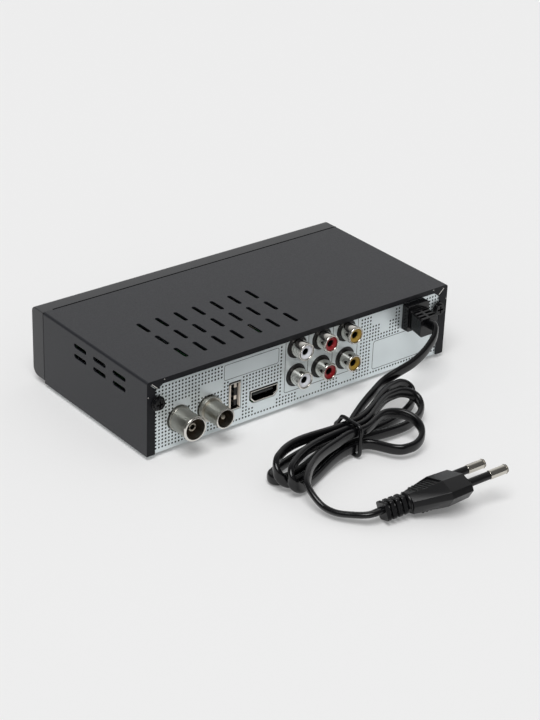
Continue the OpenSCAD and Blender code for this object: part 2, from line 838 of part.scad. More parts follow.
// half the flat cord's section, as steps along its width and its thickness
cord_edge = cord_t * 0.22;
cord_flat = cord_w / 2 - cord_t * 0.28;
cord_half = [[cord_w / 2, cord_edge], [cord_flat, cord_t / 2],
    [-cord_flat, cord_t / 2], [-cord_w / 2, cord_edge]];
cord_section = concat(cord_half, -cord_half);

module cord_tube(p, r0, r1) {
    n = len(cord_section);
    rings = len(p);
    points = [for (i = [0 : rings - 1]) let (w = broad(p, i, roll_at(p, i, r0, r1)), s = cross(run(p, i), w))
        for (c = cord_section) p[i] + c[0] * w + c[1] * s];
    sides = [for (i = [0 : rings - 2], j = [0 : n - 1]) let (a = i * n + j, b = i * n + (j + 1) % n)
        each [[a, b, b + n], [a, b + n, a + n]]];
    e = (rings - 1) * n;
    caps = [for (j = [1 : n - 2]) each [[0, j + 1, j], [e, e + j, e + j + 1]]];
    polyhedron(points, concat(sides, caps));
}

// round end of a turn: from its upper or rear strand, round the fold, to the other
function fold(f) = let (u = [cos(f[1]), sin(f[1])], n = [-u[1], u[0]], c = f[0] + u * (f[2] - f[3]))
    [for (k = [0 : fold_steps])
        let (a = 90 - 180 * k / fold_steps, q = c + u * f[3] * cos(a) - n * f[4] * sin(a))
        [q[0], q[1], (f[5] + f[6]) / 2 + (f[5] - f[6]) / 2 * sin(a)]];
function slot(k, z, x) = [x, slot_y + k * slot_step, z];
tie_left = tie_x + tie_half;
tie_right = tie_x - tie_half;
hank_route = concat(hank_in, [for (k = [0 : turns - 1]) each concat(
    k == 0 ? [] : [slot(k - 1, slot_high, tie_right), slot(k - 1, slot_high, tie_left)],
    fold(left_folds[k]), [slot(k, slot_low, tie_left), slot(k, slot_low, tie_right)], fold(right_loops[k]))],
    [slot(turns - 1, slot_high, tie_right), slot(turns - 1, slot_high, tie_left), hank_out]);

// least gap between stretches of the hank that are more than skip rings apart
function three_lines(p) = [for (i = [0 : len(p) - 1])
    let (w = broad(p, i, 0) * (cord_w - cord_t) / 2) [p[i] - w, p[i], p[i] + w]];
function least_gap(p, skip) = let (l = three_lines(p))
    min([for (i = [0 : len(p) - 1 - skip], j = [i + skip : 1 : len(p) - 1], a = [0 : 2], b = [0 : 2])
        norm(l[i][a] - l[j][b])]) - cord_t;
function length_of(p) = [for (i = [0 : len(p) - 2]) seg(p, i)] * [for (i = [0 : len(p) - 2]) 1];

module cord_hank() {
    p = curve(hank_route);
    echo(hank_least_gap = least_gap(p, 8), hank_length = length_of(p));
    color("#1d1d1f") cord_tube(p, 0, 0);
}

module cord_lead() {
    p = curve(lead_route);
    echo(lead_length = length_of(p));
    color("#1d1d1f") cord_tube(p, 0, 0);
}

// the plug's own frame: +X along the pins, Y across them
function plug_dir() = [cos(plug_pitch) * cos(plug_yaw), cos(plug_pitch) * sin(plug_yaw), sin(plug_pitch)];
plug_tail = plug_at - plug_l * plug_dir();
tail_route = concat(tail_start, [plug_tail - cord_w * plug_dir(), plug_tail]);

module cord_tail() {
    p = curve(tail_route);
    echo(tail_length = length_of(p));
    color("#1d1d1f") cord_tube(p, 0, 90 + plug_roll);
}

module cord_tie() {
    gap = 0.45;
    y0 = slot_y - slot_step - cord_t / 2 - gap - tie_r;
    y1 = slot_y + (turns - 1) * slot_step + cord_t / 2 + gap + tie_r;
    z0 = slot_low - cord_w / 2 - gap - tie_r;
    z1 = slot_high + cord_w / 2 + gap + tie_r;
    r = tie_corner;
    // the upper rear corner is slack, where only the low lead fills the tie
    s = tie_slack;
    color("#232325") translate([tie_x, 0, 0]) {
        translate([0, 0, z0]) along_y(tie_r, y0 + r, y1 - r);
        translate([0, 0, z1]) along_y(tie_r, y0 + s, y1 - r);
        translate([0, y0, z0 + r]) cylinder(r = tie_r, h = z1 - z0 - r - s);
        translate([0, y1, z0 + r]) cylinder(r = tie_r, h = z1 - z0 - 2 * r);
        for (c = [[y0 + r, z0 + r, 180, r], [y1 - r, z0 + r, 270, r],
                [y1 - r, z1 - r, 0, r], [y0 + s, z1 - s, 90, s]])
            translate([0, c[0], c[1]]) rotate([90, 0, 90]) rotate([0, 0, c[2]])
                rotate_extrude(angle = 90) translate([c[3], 0]) circle(tie_r);
    }
}

module on_plug() {
    translate(plug_at) rotate([0, 0, plug_yaw]) rotate([0, -plug_pitch, 0]) rotate([plug_roll, 0, 0])
        children();
}

// a slice of the plug's bevelled body, which hangs a little below the pins
module plug_slice(x, hw, ht) {
    bevel = 0.52;
    side = 0.26;
    translate([x, 0, -plug_drop]) rotate([90, 0, 90]) linear_extrude(eps)
        polygon([[-hw, -ht * side], [-hw, ht * side], [-hw * bevel, ht], [hw * bevel, ht],
            [hw, ht * side], [hw, -ht * side], [hw * bevel, -ht], [-hw * bevel, -ht]]);
}

// thumb recess in the plug's upper (1) or lower (-1) face
grip_floor = plug_half_t - grip_depth;
grip_end = plug_broad + 1.2 + grip_ribs * grip_pitch;
module plug_grip(side) {
    translate([0, 0, -plug_drop + side * (grip_floor + 1)]) linear_extrude(2, center = true)
        polygon([[-plug_broad, -6.2], [-plug_broad, 6.2], [-grip_end, 4.4], [-grip_end, -4.4]]);
}

module plug_body() {
    neck = -plug_l + plug_relief_l;
    ribs = 4;
    color("#1b1b1d") on_plug() difference() {
        union() {
            difference() {
                union() {
                    hull() {
                        plug_slice(-eps, plug_hw - 0.6, plug_half_t - 0.4);
                        plug_slice(-plug_broad, plug_hw, plug_half_t);
                    }
                    hull() {
                        plug_slice(-plug_broad, plug_hw, plug_half_t);
                        plug_slice(neck, plug_rib_r + 1.3, plug_rib_r + 0.5);
                    }
                }
                for (side = [-1, 1]) plug_grip(side);
            }
            for (side = [-1, 1], i = [0 : grip_ribs - 1])
                translate([-plug_broad - 1.8 - i * grip_pitch, 0, -plug_drop + side * grip_floor])
                    along_y(0.45, 0.3 * i - 5.4, 5.4 - 0.3 * i);
            translate([-plug_l, 0, -relief_drop]) rotate([0, 90, 0])
                cylinder(r = plug_relief_r, h = plug_relief_l + 2);
            translate([neck - 1.5, 0, -relief_drop]) rotate([0, 90, 0]) {
                cylinder(r1 = plug_rib_r - 0.4, r2 = plug_rib_r + 0.4, h = 0.8);
                translate([0, 0, 0.8 - eps]) cylinder(r = plug_rib_r + 0.4, h = 2);
            }
            for (i = [0 : ribs - 1]) translate([-plug_l + i * rib_pitch, 0, -relief_drop])
                rotate([90, 0, 90])
                linear_extrude(rib_l) round_rect2d(2 * plug_rib_r, 2 * plug_rib_r, 1.2);
        }
        for (s = [-1, 1]) translate([-sleeve_seat, s * pin_pitch / 2, 0]) rotate([0, 90, 0])
            cylinder(r = sleeve_r + screw_gap, h = sleeve_seat + past);
    }
}

module plug_sleeves() {
    color("#1b1b1d") on_plug() for (s = [-1, 1])
        translate([-sleeve_seat, s * pin_pitch / 2, 0]) rotate([0, 90, 0]) difference() {
            cylinder(r = sleeve_r, h = sleeve_seat + sleeve_l);
            translate([0, 0, 1]) cylinder(r = pin_core_r + 0.05, h = sleeve_seat + sleeve_l);
        }
}

module plug_pins() {
    color("#cfd0ce") on_plug() for (s = [-1, 1]) translate([0, s * pin_pitch / 2, 0]) rotate([0, 90, 0]) {
        translate([0, 0, 1 - sleeve_seat]) cylinder(r = pin_core_r, h = sleeve_seat + sleeve_l - 1 + eps);
        translate([0, 0, sleeve_l]) cylinder(r = pin_r, h = pin_l - sleeve_l - 1.3);
        translate([0, 0, pin_l - 1.3 - eps]) cylinder(r1 = pin_r, r2 = pin_r - 0.4, h = 0.8);
        translate([0, 0, pin_l - 0.5 - 2 * eps]) cylinder(r1 = pin_r - 0.4, r2 = pin_r - 1.1, h = 0.5);
    }
}

// two wires from the bushing down to the power board
module mains_wires() {
    r = 1;
    bend = 4;
    y0 = rear_y - sheet_t - bush_inner;
    z0 = bush_z - 0.6;
    color("#6b4a2c") for (s = [-1, 1]) translate([bush_x + s * 2, 0, 0]) {
        translate([0, 0, z0]) along_y(r, y0 - bend, y0);
        translate([0, y0 - bend, z0 - bend]) rotate([90, 0, 90]) rotate([0, 0, 90])
            rotate_extrude(angle = 90) translate([bend, 0]) circle(r);
        translate([0, y0 - 2 * bend, board_top]) cylinder(r = r, h = z0 - bend - board_top);
    }
}

module cord_bushing() {
    y0 = rear_y;
    y1 = rear_y + bush_reach;
    crown = bush_sleeve_h / 2 - 0.6;
    color("#222224") translate([bush_x, 0, bush_z]) difference() {
        union() {
            upright(y0, y0 + bush_plate) round_rect2d(bush_w, bush_w, 1);
            upright(y0 - sheet_t - eps, y0 + eps) square(bush_neck, center = true);
            upright(y0 - sheet_t - bush_inner, y0 - sheet_t) round_rect2d(bush_w - 1.2, bush_w - 1.2, 1);
            translate([0, 0, -0.6]) upright(y0, y1) round_rect2d(bush_sleeve_w, bush_sleeve_h, 1.2);
        }
        for (i = [0 : 2], s = [-1, 1]) translate([s * 2.6, y0 + bush_plate + 1.6 + i * 2.1, crown - 2])
            box(-1.9, 1.9, -0.5, 0.5, 0, 3);
    }
}

top_cover();
bottom_chassis();
front_panel();
display_window();
power_button();
channel_up_button();
channel_down_button();
power_plunger();
channel_up_plunger();
channel_down_plunger();
switch_housings();
front_board();
front_board_screws();
led_display();
ir_receiver();
main_board();
power_board();
standoffs();
board_screws();
main_chip();
heat_sink();
tuner_can();
rf_in_shell();
rf_in_insulator();
rf_in_contact();
rf_out_shell();
rf_out_insulator();
rf_out_pin();
usb_shell();
usb_tongue();
usb_contacts();
hdmi_shell();
hdmi_tongue();
rca_block();
rca_barrels();
rca_white_inserts();
rca_red_inserts();
rca_yellow_inserts();
transformer();
bulk_capacitor();
output_capacitors();
fuse();
ribbon_headers();
ribbon_cable();
cover_screws();
rubber_feet();
cord_bushing();
mains_wires();
cord_lead();
cord_hank();
cord_tie();
cord_tail();
plug_body();
plug_sleeves();
plug_pins();
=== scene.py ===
import json
import math
import bpy
import bmesh
from mathutils import Matrix, Vector

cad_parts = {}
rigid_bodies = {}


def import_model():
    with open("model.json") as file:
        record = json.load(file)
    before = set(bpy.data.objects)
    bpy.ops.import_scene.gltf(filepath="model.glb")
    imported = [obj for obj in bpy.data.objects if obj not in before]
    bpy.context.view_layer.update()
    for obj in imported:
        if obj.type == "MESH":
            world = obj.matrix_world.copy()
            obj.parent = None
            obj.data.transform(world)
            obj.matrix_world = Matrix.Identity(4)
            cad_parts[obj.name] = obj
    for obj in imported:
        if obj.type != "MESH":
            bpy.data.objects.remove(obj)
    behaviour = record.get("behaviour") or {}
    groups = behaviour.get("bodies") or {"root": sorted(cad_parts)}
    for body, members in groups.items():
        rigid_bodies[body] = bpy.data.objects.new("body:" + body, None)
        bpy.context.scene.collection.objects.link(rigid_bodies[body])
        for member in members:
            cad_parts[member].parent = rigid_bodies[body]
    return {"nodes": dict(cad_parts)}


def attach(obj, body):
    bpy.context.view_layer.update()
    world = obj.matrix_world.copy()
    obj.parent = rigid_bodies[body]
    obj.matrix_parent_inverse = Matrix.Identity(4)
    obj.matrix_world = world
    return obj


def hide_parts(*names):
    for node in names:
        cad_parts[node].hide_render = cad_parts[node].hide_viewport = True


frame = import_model()
cad = frame["nodes"]
scene = bpy.context.scene
for spare in [o for o in scene.objects if o.name in ("Cube", "Light", "Camera")]:
    bpy.data.objects.remove(spare)
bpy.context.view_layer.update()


# Chassis: a tray folded from zinc-plated steel sheet, 0.8 mm thick. Its rear wall carries every
# socket and is sprayed a pale silver; the sheared edges are only just broken.

noise_span = (0.3, 0.7)
cloud_scale, cloud_detail = 70, 5
speck_detail, gloss_drift = 2, 0.05
solid_weld, flat_turn = 2e-6, 0.4


def linear(code):
    """A colour as a paint card gives it, turned into the numbers a shader takes."""
    parts = [int(code[i:i + 2], 16) / 255 for i in (1, 3, 5)]
    return [c / 12.92 if c <= 0.04045 else ((c + 0.055) / 1.055) ** 2.4 for c in parts]


def ranged(nodes, span, onto):
    """A node that carries one span of numbers over onto another."""
    made = nodes.new("ShaderNodeMapRange")
    for socket, value in zip(("From Min", "From Max", "To Min", "To Max"), (*span, *onto)):
        made.inputs[socket].default_value = value
    return made


def finish(name, colour, dull, grain, depth, drift=0.08, metal=0.0, shine=0.5, run=(1, 1, 1)):
    """A finish whose shade and gloss drift a little, with a grain of that size and depth in millimetres."""
    made = bpy.data.materials.new(name)
    made.use_nodes = True
    nodes, join = made.node_tree.nodes, made.node_tree.links.new
    face = nodes["Principled BSDF"]
    face.inputs["Metallic"].default_value = metal
    face.inputs["Specular IOR Level"].default_value = shine
    spot = nodes.new("ShaderNodeTexCoord")
    lie = nodes.new("ShaderNodeMapping")
    lie.inputs["Scale"].default_value = run
    join(spot.outputs["Object"], lie.inputs["Vector"])
    clouds, specks = nodes.new("ShaderNodeTexNoise"), nodes.new("ShaderNodeTexNoise")
    for noise, scale, detail in ((clouds, cloud_scale, cloud_detail), (specks, 1000 / grain, speck_detail)):
        noise.inputs["Scale"].default_value = scale
        noise.inputs["Detail"].default_value = detail
        join(lie.outputs["Vector"], noise.inputs["Vector"])
    tone = nodes.new("ShaderNodeValToRGB")
    for end, step in ((0, 1 - drift), (1, 1 + drift)):
        tone.color_ramp.elements[end].position = noise_span[end]
        tone.color_ramp.elements[end].color = [min(1, c * step) for c in linear(colour)] + [1]
    join(clouds.outputs[0], tone.inputs["Fac"])
    join(tone.outputs["Color"], face.inputs["Base Color"])
    gloss = ranged(nodes, noise_span, (dull - gloss_drift, dull + gloss_drift))
    join(specks.outputs[0], gloss.inputs["Value"])
    join(gloss.outputs["Result"], face.inputs["Roughness"])
    relief = nodes.new("ShaderNodeBump")
    relief.inputs["Distance"].default_value = depth / 1000
    join(specks.outputs[0], relief.inputs["Height"])
    join(relief.outputs["Normal"], face.inputs["Normal"])
    return made


def placed(name, mesh, coat, body="case", nodes=(), corner=40):
    """Puts a finished mesh on its body, smooth but for true corners, in the stead of its solids."""
    mesh.materials.clear()
    mesh.materials.append(coat)
    mesh.polygons.foreach_set("use_smooth", [True] * len(mesh.polygons))
    mesh.set_sharp_from_angle(angle=math.radians(corner))
    piece = bpy.data.objects.new(name, mesh)
    scene.collection.objects.link(piece)
    piece.modifiers.new("even", "WEIGHTED_NORMAL").keep_sharp = True
    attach(piece, body)
    if nodes:
        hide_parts(*nodes)
    return piece


def broken(name, node, edge, coat, body="case", corner=30, rounds=2):
    """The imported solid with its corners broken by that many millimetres, as the real piece has them."""
    work = bmesh.new()
    work.from_mesh(cad[node].data)
    bmesh.ops.remove_doubles(work, verts=work.verts, dist=solid_weld)
    bmesh.ops.dissolve_limit(work, angle_limit=math.radians(flat_turn), verts=work.verts, edges=work.edges)
    turn = math.radians(corner)
    sharp = [e for e in work.edges if len(e.link_faces) == 2 and e.calc_face_angle() > turn]
    bmesh.ops.bevel(work, geom=sharp, offset=edge / 1000, segments=rounds, profile=0.5, affect="EDGES")
    mesh = bpy.data.meshes.new(name)
    work.to_mesh(mesh)
    work.free()
    for spare in [a for a in mesh.attributes if a.name == "custom_normal"]:
        mesh.attributes.remove(spare)
    return placed(name, mesh, coat, body, [node])


silver_spray = finish("silver_spray", "#dfe7e9", dull=0.36, grain=0.35, depth=0.006, drift=0.03, metal=0.55)
broken("tray_and_rear_wall", "bottom_chassis", 0.12, silver_spray)


# Rear wall print: black screen-printed ink, a close grid of dots with fine framed fields.
# The fields are plain silver, and the ink lies 0.02 mm proud of them.

rear = 38.9
ink_proud, fine_line, frame_line = 0.02, 0.22, 0.25
dot_radius, dot_sides = 0.47, 10
dot_start, dot_pitch = (12.83, 33.0), (1.72, 1.69)
dot_columns, dot_rows = range(-40, 56), range(-2, 20)
dots_low, dots_high = 3.2, 34.6
bare_fields = [
    (-100, -80.2, 0, 40), (80.2, 100, 0, 40), (62.4, 69.8, 20.2, 23.8), (43.8, 57, 21.2, 26.6),
    (33.6, 42, 4.6, 24.6), (13.2, 31.2, 9, 17.2), (16, 27, 5, 8.6), (13.6, 45, 25.2, 36),
    (-31.9, 11.4, 8.4, 36), (-11, 3.4, 4.6, 8), (-29.4, -20.6, 4.6, 8), (-53.4, -39.2, 28.4, 36),
    (-50.2, -44, 23.4, 29), (-77.6, -40.4, 4.8, 20.8), (-71.2, -57.6, 20, 36)]
panel_ink = finish("panel_ink", "#050607", dull=0.6, grain=0.3, depth=0.003, drift=0.15, shine=0.12)


def inked(name, shapes):
    """Flat ink on the rear wall; each shape is a ring of (x, z) points in millimetres."""
    work = bmesh.new()
    for shape in shapes:
        side = work.faces.new([work.verts.new(Vector((x, rear + ink_proud, z)) / 1000) for x, z in shape])
        side.normal_update()
        if side.normal.y < 0:
            side.normal_flip()
    mesh = bpy.data.meshes.new(name)
    work.to_mesh(mesh)
    work.free()
    placed(name, mesh, panel_ink)


def line_frame(x0, x1, z0, z1, bend, width):
    """The strips of a rounded printed frame."""
    loops = []
    for inset in (0, width):
        loop = []
        for cx, cz, turn in ((x1 - bend, z1 - bend, 0), (x0 + bend, z1 - bend, 90),
                             (x0 + bend, z0 + bend, 180), (x1 - bend, z0 + bend, 270)):
            for part in (0, 22.5, 45, 67.5, 90):
                a = math.radians(turn + part)
                loop.append((cx + (bend - inset) * math.cos(a), cz + (bend - inset) * math.sin(a)))
        loops.append(loop)
    outer, inner = loops
    return [[outer[i - 1], outer[i], inner[i], inner[i - 1]] for i in range(len(outer))]


def upright_line(x, z0, z1, width):
    """One printed line that stands upright."""
    return [(x, z0), (x + width, z0), (x + width, z1), (x, z1)]


dots = []
dot_turns = [2 * math.pi * k / dot_sides for k in range(dot_sides)]
for column in dot_columns:
    for row in dot_rows:
        x, z = dot_start[0] - column * dot_pitch[0], dot_start[1] - row * dot_pitch[1]
        bare = any(x0 < x < x1 and z0 < z < z1 for x0, x1, z0, z1 in bare_fields)
        if dots_low <= z <= dots_high and not bare:
            dots.append([(x + dot_radius * math.cos(a), z + dot_radius * math.sin(a)) for a in dot_turns])
inked("rear_print_dots", dots)
upper_frame = line_frame(14.2, 44.2, 25.7, 33.3, 1, fine_line)
phono_frame = line_frame(-31.4, 10.6, 9.2, 36, 1, frame_line)
lower_frame = line_frame(-77, -41.1, 5.5, 20.1, 1.3, frame_line)
phono_lines = [upright_line(x, 9.4, 35, frame_line) for x in (-2.6, -16.7)]
inked("rear_print_frames", upper_frame + phono_frame + lower_frame + phono_lines)


# Feet: four round pads of black rubber stuck under the tray, which lift it 2 mm off the table.
# They are stamped from sheet, and their edges are a little rounded.

foot_rubber = finish("foot_rubber", "#1d1d1e", dull=0.85, grain=0.5, depth=0.02)
broken("rubber_pads", "rubber_feet", 0.35, foot_rubber)


# Boards: a green main board and a brown power board on steel standoffs, each held by small screws.
# The copper tracks show as paler lines under the lacquer.

track_scale, track_width = 220, 0.06


def coated(coat, *names):
    """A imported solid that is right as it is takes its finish."""
    for name in names:
        cad[name].data.materials.clear()
        cad[name].data.materials.append(coat)


def lacquer(name, ground, track):
    """Board lacquer over etched tracks."""
    made = finish(name, ground, dull=0.35, grain=0.4, depth=0.004)
    nodes, join = made.node_tree.nodes, made.node_tree.links.new
    face, spot = nodes["Principled BSDF"], nodes["Texture Coordinate"]
    tone = face.inputs["Base Color"].links[0].from_socket
    tracks = nodes.new("ShaderNodeTexBrick")
    tracks.inputs["Scale"].default_value = track_scale
    tracks.inputs["Mortar Size"].default_value = track_width
    for socket, grey in (("Color1", 0), ("Color2", 0.1), ("Mortar", 1)):
        tracks.inputs[socket].default_value = (grey, grey, grey, 1)
    join(spot.outputs["Object"], tracks.inputs["Vector"])
    etched = nodes.new("ShaderNodeMix")
    etched.data_type = "RGBA"
    join(tracks.outputs["Color"], etched.inputs["Factor"])
    join(tone, etched.inputs["A"])
    etched.inputs["B"].default_value = linear(track) + [1]
    join(etched.outputs["Result"], face.inputs["Base Color"])
    return made


zinc_plate = finish("zinc_plate", "#b9bcbb", dull=0.35, grain=0.2, depth=0.004, metal=1.0)
coated(zinc_plate, "standoffs", "board_screws", "front_board_screws")
coated(lacquer("green_lacquer", "#1f5a32", "#4c8a55"), "main_board", "front_board")
coated(lacquer("brown_lacquer", "#8b6a38", "#b28c52"), "power_board")


# Board parts: the main chip under a finned heat sink, and on the power board a taped transformer,
# sleeved capacitors and a glass fuse. Ribbon and mains wires join the boards.

chip_resin = finish("chip_resin", "#1c1d1f", dull=0.6, grain=0.15, depth=0.01)
black_anodised = finish("black_anodised", "#2b2c2e", dull=0.4, grain=0.3, depth=0.005, metal=0.7,
                        run=(1, 6, 1))
transformer_tape = finish("transformer_tape", "#8a6a1e", dull=0.5, grain=1.2, depth=0.03, drift=0.2)
capacitor_sleeve = finish("capacitor_sleeve", "#1d2430", dull=0.35, grain=0.5, depth=0.004, drift=0.15)
fuse_glass = finish("fuse_glass", "#cfd6d8", dull=0.12, grain=0.6, depth=0.002)
header_nylon = finish("header_nylon", "#d8d2c2", dull=0.5, grain=0.25, depth=0.006)
ribbon_vinyl = finish("ribbon_vinyl", "#b9bbbd", dull=0.45, grain=1.27, depth=0.12, run=(1, 0.02, 0.02))
wire_vinyl = finish("wire_vinyl", "#6b4a2c", dull=0.4, grain=0.5, depth=0.01)
coated(chip_resin, "main_chip")
coated(black_anodised, "heat_sink")
coated(transformer_tape, "transformer")
coated(capacitor_sleeve, "bulk_capacitor", "output_capacitors")
coated(fuse_glass, "fuse")
coated(header_nylon, "ribbon_headers")
coated(ribbon_vinyl, "ribbon_cable")
coated(wire_vinyl, "mains_wires")


# Tuner can: a screened box folded from tinned steel, standing on the main board behind the wall.
# The two aerial barrels are fixed to it and come out through the wall.

tinned_steel = finish("tinned_steel", "#c4c7c8", dull=0.34, grain=0.8, depth=0.006, metal=1.0, drift=0.12)
coated(tinned_steel, "tuner_can")


# Aerial sockets: turned barrels in satin nickel plate, with glossier rims painted brighter as a highlight.
# One holds a split receptacle and the other a bare pin, each on a dark moulded insulator.

rim_highlight_depth = 0.6
nickel = finish("nickel_plate", "#dcd9d2", dull=0.13, grain=3.0, depth=0.0005, metal=1.0, drift=0.06)
satin_nickel = finish("satin_nickel", "#b9b6ad", dull=0.33, grain=3.0, depth=0.0005, metal=1.0, drift=0.06)
dark_insulator = finish("dark_insulator", "#75604f", dull=0.5, grain=0.3, depth=0.006)
contact_metal = finish("contact_metal", "#9d978b", dull=0.34, grain=0.15, depth=0.003, metal=1.0, drift=0.06)
for name, node in (("aerial_in_barrel", "rf_in_shell"), ("aerial_out_barrel", "rf_out_shell")):
    barrel = broken(name, node, 0.15, satin_nickel)
    # The last 0.6 mm of each barrel takes the brighter nickel: painted highlight on the rim, with real
    # gloss.
    barrel.data.materials.append(nickel)
    rim = max(point.co.y for point in barrel.data.vertices) - rim_highlight_depth / 1000
    for side in barrel.data.polygons:
        if side.center.y > rim:
            side.material_index = 1
coated(dark_insulator, "rf_in_insulator", "rf_out_insulator")
broken("aerial_in_receptacle", "rf_in_contact", 0.08, contact_metal)
broken("aerial_out_pin", "rf_out_pin", 0.7, contact_metal, rounds=5)


# Data and video sockets: shells folded from nickel-plated strip round black moulded tongues.
# The data shell's lips turn out over the wall, and two of its spring tabs show in the opening.

data_lips = [((40.55, 38.95, 11.4), (41.3, 39.3, 22.6)), ((35.56, 37.5, 11.2), (35.75, 39.2, 22.4))]
data_springs = [((36.6, 37.92, z), (37.95, 38.1, z + 1.8)) for z in (14.4, 20.3)]
socket_black = finish("socket_black", "#161617", dull=0.42, grain=0.2, depth=0.006)
bright_strip = finish("bright_strip", "#e4dacd", dull=0.34, grain=0.2, depth=0.004, drift=0.06, metal=0.2)


def made_of(work, name):
    """Closes up a hand-made mesh with its faces turned outwards."""
    bmesh.ops.recalc_face_normals(work, faces=work.faces)
    mesh = bpy.data.meshes.new(name)
    work.to_mesh(mesh)
    work.free()
    return mesh


def blocks(name, coat, sizes):
    """Small straight bits, each given by its low and high corner in millimetres."""
    work = bmesh.new()
    for low, high in sizes:
        low, high = Vector(low) / 1000, Vector(high) / 1000
        bmesh.ops.create_cube(work, size=1, matrix=Matrix.Translation((low + high) / 2)
                              @ Matrix.Diagonal((*(high - low), 1)))
    placed(name, made_of(work, name), coat)


broken("data_socket_shell", "usb_shell", 0.1, nickel)
broken("data_socket_tongue", "usb_tongue", 0.12, socket_black)
coated(contact_metal, "usb_contacts")
blocks("data_socket_lips", bright_strip, data_lips)
blocks("data_socket_springs", bright_strip, data_springs)
broken("video_socket_shell", "hdmi_shell", 0.1, nickel)
broken("video_socket_tongue", "hdmi_tongue", 0.1, socket_black)


# Phono sockets: six nickel barrels with rolled lips on one black moulded block, two in each colour.
# Each holds a coloured moulded insert, with a countersunk hole and a tinned spring down it.
# The springs are coloured near black, as painted shade down the holes.

phono_columns = (4.1, -10.1, -24.3)
phono_rows = (16.7, 30.7)
phono_tip = rear + 7
turned_weld = 1e-7
barrel_sides, insert_sides, spring_sides = 48, 40, 24
barrel_profile = [
    (3.36, rear - 4), (3.9, rear - 4), (3.9, rear + 0.95), (4.1, rear + 1), (4.15, rear + 1.1),
    (4.15, phono_tip - 1.15), (4.05, phono_tip - 1), (4.05, phono_tip - 0.85), (4.15, phono_tip - 0.7),
    (4.15, phono_tip - 0.35), (4.08, phono_tip - 0.12), (3.92, phono_tip - 0.01), (3.7, phono_tip),
    (3.5, phono_tip - 0.06), (3.38, phono_tip - 0.22), (3.36, phono_tip - 0.5), (3.36, rear - 4)]
insert_profile = [
    (1.6, rear - 2.5), (1.68, phono_tip - 1.3), (1.76, phono_tip - 1.05), (1.92, phono_tip - 0.93),
    (2.5, phono_tip - 0.74), (3.0, phono_tip - 0.56), (3.16, phono_tip - 0.54), (3.28, phono_tip - 0.62),
    (3.32, phono_tip - 0.85), (3.32, rear - 4), (0.01, rear - 4), (0.01, rear - 2.5), (1.6, rear - 2.5)]
spring_profile = [
    (1.5, rear - 2.4), (1.58, rear - 2.4), (1.58, phono_tip - 1.4), (1.45, phono_tip - 1.35),
    (1.38, phono_tip - 1.6), (1.42, rear - 2.3), (0.01, rear - 2.3), (0.01, rear - 2.4), (1.5, rear - 2.4)]
# Tin coloured near black: painted shade in the holes.
spring_painted_shade = finish("spring_painted_shade", "#2c2a28", dull=0.4, grain=0.2, depth=0.004, metal=0.8)


def turned(name, columns, profile, sides):
    """Spins a profile of (radius, y) points in millimetres about each socket in those columns."""
    work = bmesh.new()
    turns = [2 * math.pi * k / sides for k in range(sides)]
    for x in columns:
        for z in phono_rows:
            rings = []
            for r, y in profile:
                ring = [Vector((x + r * math.cos(a), y, z + r * math.sin(a))) / 1000 for a in turns]
                rings.append([work.verts.new(point) for point in ring])
            for near, far in zip(rings, rings[1:]):
                for k in range(sides):
                    work.faces.new((near[k - 1], near[k], far[k], far[k - 1]))
    bmesh.ops.remove_doubles(work, verts=work.verts, dist=turned_weld)
    return made_of(work, name)


phono_barrels = turned("phono_barrels", phono_columns, barrel_profile, barrel_sides)
placed("phono_barrels", phono_barrels, nickel, nodes=["rca_barrels"])
for x, hue, colour in zip(phono_columns, ("white", "red", "yellow"), ("#e3e4ea", "#8e131a", "#a58430")):
    name = "phono_inserts_" + hue
    coat = finish(name, colour, dull=0.35, grain=0.3, depth=0.004, drift=0.05)
    inserts = turned(name, [x], insert_profile, insert_sides)
    placed(name, inserts, coat, nodes=["rca_" + hue + "_inserts"])
broken("phono_block", "rca_block", 0.12, socket_black)
placed("phono_springs", turned("phono_springs", phono_columns, spring_profile, spring_sides), spring_painted_shade)


# Cord bushing: a square-flanged grommet in black vinyl, snapped through the rear wall round the cord.
# Its sleeve droops with the cord and is slotted on top so that it bends.

bush_plate, plate_edge, bush_droop = 4, 0.3, 0.2
cord_vinyl = finish("cord_vinyl", "#09090b", dull=0.22, grain=0.5, depth=0.004, drift=0.12, shine=0.45)
bushing = broken("bushing", "cord_bushing", 0.2, cord_vinyl)
for point in bushing.data.vertices:
    past_plate = point.co.y * 1000 - rear - bush_plate
    if past_plate > plate_edge:
        point.co.z -= bush_droop * past_plate / 1000


# Mains cord: flat twin vinyl cord, 4.8 by 2.8 mm, in one length from the bushing through a hank of
# three folds each side of its tie to the plug.

cord_wide, cord_thick, cord_square = 4.8, 2.8, 2.6
cord_sides, cord_step = 20, 1.4
bush_exit = Vector((-64.4, 50.4, 27.4))
lead = [bush_exit + Vector((0, -2, 0)), bush_exit, (-64.4, 54, 27.2), (-61.5, 57.5, 25.2),
        (-56, 60, 22.4), (-50.5, 61.5, 20.2), (-44, 62.2, 18), (-36.5, 61.8, 15.9)]
hank_in = [(-29, 61.2, 13.4), (-18.5, 65, 12), (-9, 69, 10.4), (-1, 73, 8.8), (5.5, 76.5, 7.4),
           (14, 76.8, 6.4)]
left_folds = [((14, 78), 10.5, 40, 3.5, 3.2, 3, 3), ((14.5, 76.5), 20, 43, 8, 4.2, 13, 3.4),
              ((14.5, 80), 25, 42.5, 7.5, 2.8, 12.4, 3.2)]
right_folds = [((5, 81), 197, 46.5, 9, 3.8, 3.6, 12.8), ((5, 84.5), 192, 42, 11, 6.2, 4.6, 12.6),
               ((5, 88), 160, 25.5, 11, 9.2, 5.4, 13)]
tied_from, tied_to = 14.5, 5.5
first_lane, lane_step, low_row, high_row = 80.4, 3.6, 4.8, 12
